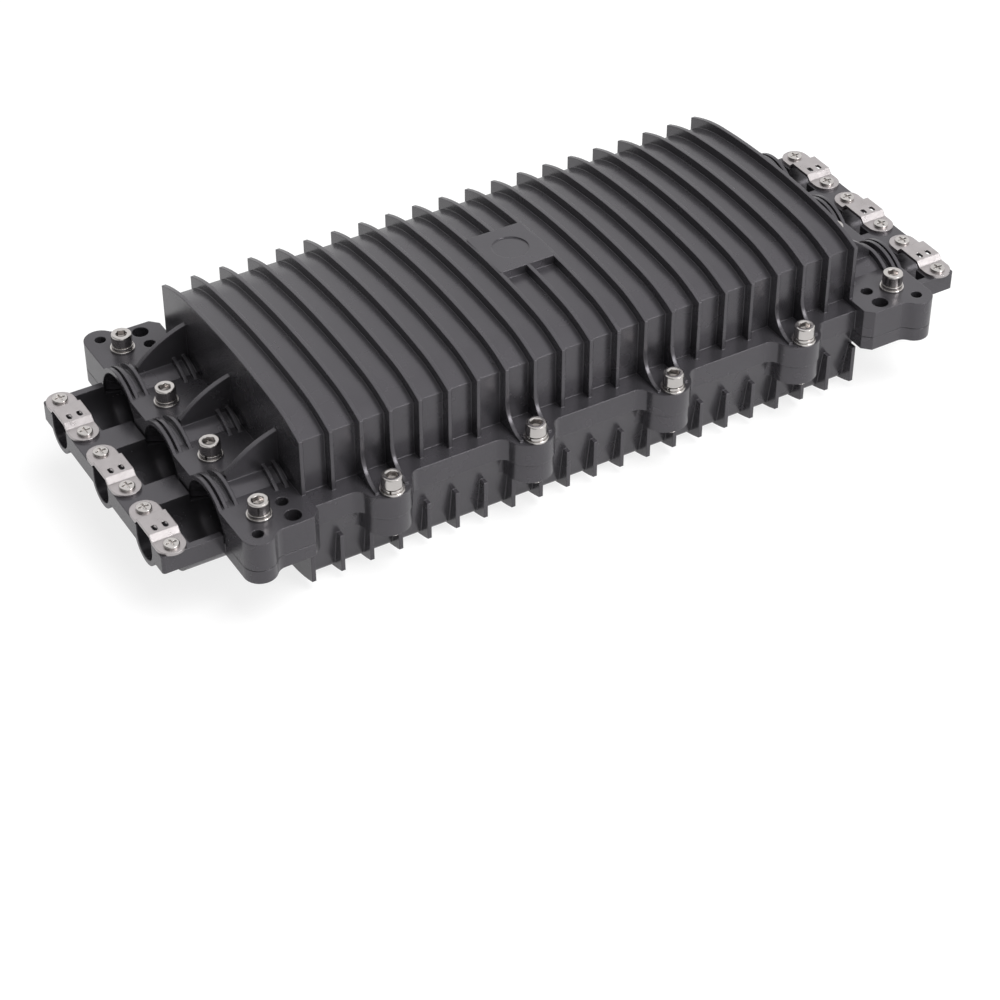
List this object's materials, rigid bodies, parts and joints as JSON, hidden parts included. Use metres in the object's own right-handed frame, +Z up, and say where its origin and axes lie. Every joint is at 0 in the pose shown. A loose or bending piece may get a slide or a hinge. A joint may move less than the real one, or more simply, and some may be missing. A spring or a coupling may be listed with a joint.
{
  "type": "horizontal fibre splice closure",
  "caption": "Long ribbed black housing in two bolted halves, with cable ports and steel cable saddles at both ends and a hinged stack of splice trays inside.",
  "frame": {"origin": "centre of the footprint on the surface that the base ribs rest on", "axes": "+X along the closure, +Y to the rear long side, +Z up through the cover"},
  "size_m": [0.436, 0.184, 0.09],
  "materials": {
    "shell": "satin black moulded plastic",
    "rubber": "soft black rubber",
    "bolt_steel": "bright zinc-plated steel",
    "saddle_steel": "pressed stainless steel",
    "plate_metal": "pale sheet metal",
    "dark_plastic": "dark moulded plastic",
    "frosted": "frosted white plastic",
    "clear": "clear plastic sheet"
  },
  "bodies": {
    "base": {"base_shell": "shell", "gasket_front": "rubber", "gasket_rear": "rubber", "captive_nuts": "bolt_steel", "saddle_screws": "bolt_steel", "tray_plate": "plate_metal", "plate_screws": "bolt_steel", "post_bases": "dark_plastic", "post_nuts": "bolt_steel", "strength_posts": "bolt_steel", "tray_bracket": "dark_plastic", "cable_saddle_1": "saddle_steel", "cable_saddle_2": "saddle_steel", "cable_saddle_3": "saddle_steel", "cable_saddle_4": "saddle_steel", "cable_saddle_5": "saddle_steel", "cable_saddle_6": "saddle_steel"},
    "cover": {"cover_shell": "shell", "cover_bolts": "bolt_steel", "flat_washers": "bolt_steel", "spring_washers": "bolt_steel"},
    "tray_1": {"splice_tray_1": "frosted", "splice_holder_1": "frosted"},
    "tray_2": {"splice_tray_2": "frosted", "splice_holder_2": "frosted"},
    "tray_3": {"splice_tray_3": "frosted", "splice_holder_3": "frosted"},
    "tray_4": {"splice_tray_4": "frosted", "splice_holder_4": "frosted"},
    "tray_5": {"splice_tray_5": "frosted", "splice_holder_5": "frosted"},
    "tray_6": {"splice_tray_6": "frosted", "splice_holder_6": "frosted", "tray_lid": "clear"}
  },
  "joints": [
    {"name": "cover_lift", "type": "slide", "parent": "base", "child": "cover", "axis": [0, 0, 1], "range_m": [0, 0.16]},
    {"name": "tray_1_tilt", "type": "hinge", "parent": "base", "child": "tray_1", "pos_m": [-0.073, 0, 0.0377], "axis": [0, -1, 0], "range_deg": [0, 7.5]},
    {"name": "tray_2_tilt", "type": "hinge", "parent": "base", "child": "tray_2", "pos_m": [-0.073, 0, 0.0441], "axis": [0, -1, 0], "range_deg": [0, 15]},
    {"name": "tray_3_tilt", "type": "hinge", "parent": "base", "child": "tray_3", "pos_m": [-0.073, 0, 0.0505], "axis": [0, -1, 0], "range_deg": [0, 22.5]},
    {"name": "tray_4_tilt", "type": "hinge", "parent": "base", "child": "tray_4", "pos_m": [-0.073, 0, 0.0569], "axis": [0, -1, 0], "range_deg": [0, 30]},
    {"name": "tray_5_tilt", "type": "hinge", "parent": "base", "child": "tray_5", "pos_m": [-0.073, 0, 0.0633], "axis": [0, -1, 0], "range_deg": [0, 37.5]},
    {"name": "tray_6_tilt", "type": "hinge", "parent": "base", "child": "tray_6", "pos_m": [-0.073, 0, 0.0697], "axis": [0, -1, 0], "range_deg": [0, 45]}
  ],
  "couplings": [
    {"joint": "tray_1_tilt", "follows": "cover_lift", "rad_per_m": 0.81812},
    {"joint": "tray_2_tilt", "follows": "cover_lift", "rad_per_m": 1.6362},
    {"joint": "tray_3_tilt", "follows": "cover_lift", "rad_per_m": 2.4544},
    {"joint": "tray_4_tilt", "follows": "cover_lift", "rad_per_m": 3.2725},
    {"joint": "tray_5_tilt", "follows": "cover_lift", "rad_per_m": 4.0906},
    {"joint": "tray_6_tilt", "follows": "cover_lift", "rad_per_m": 4.9087}
  ]
}
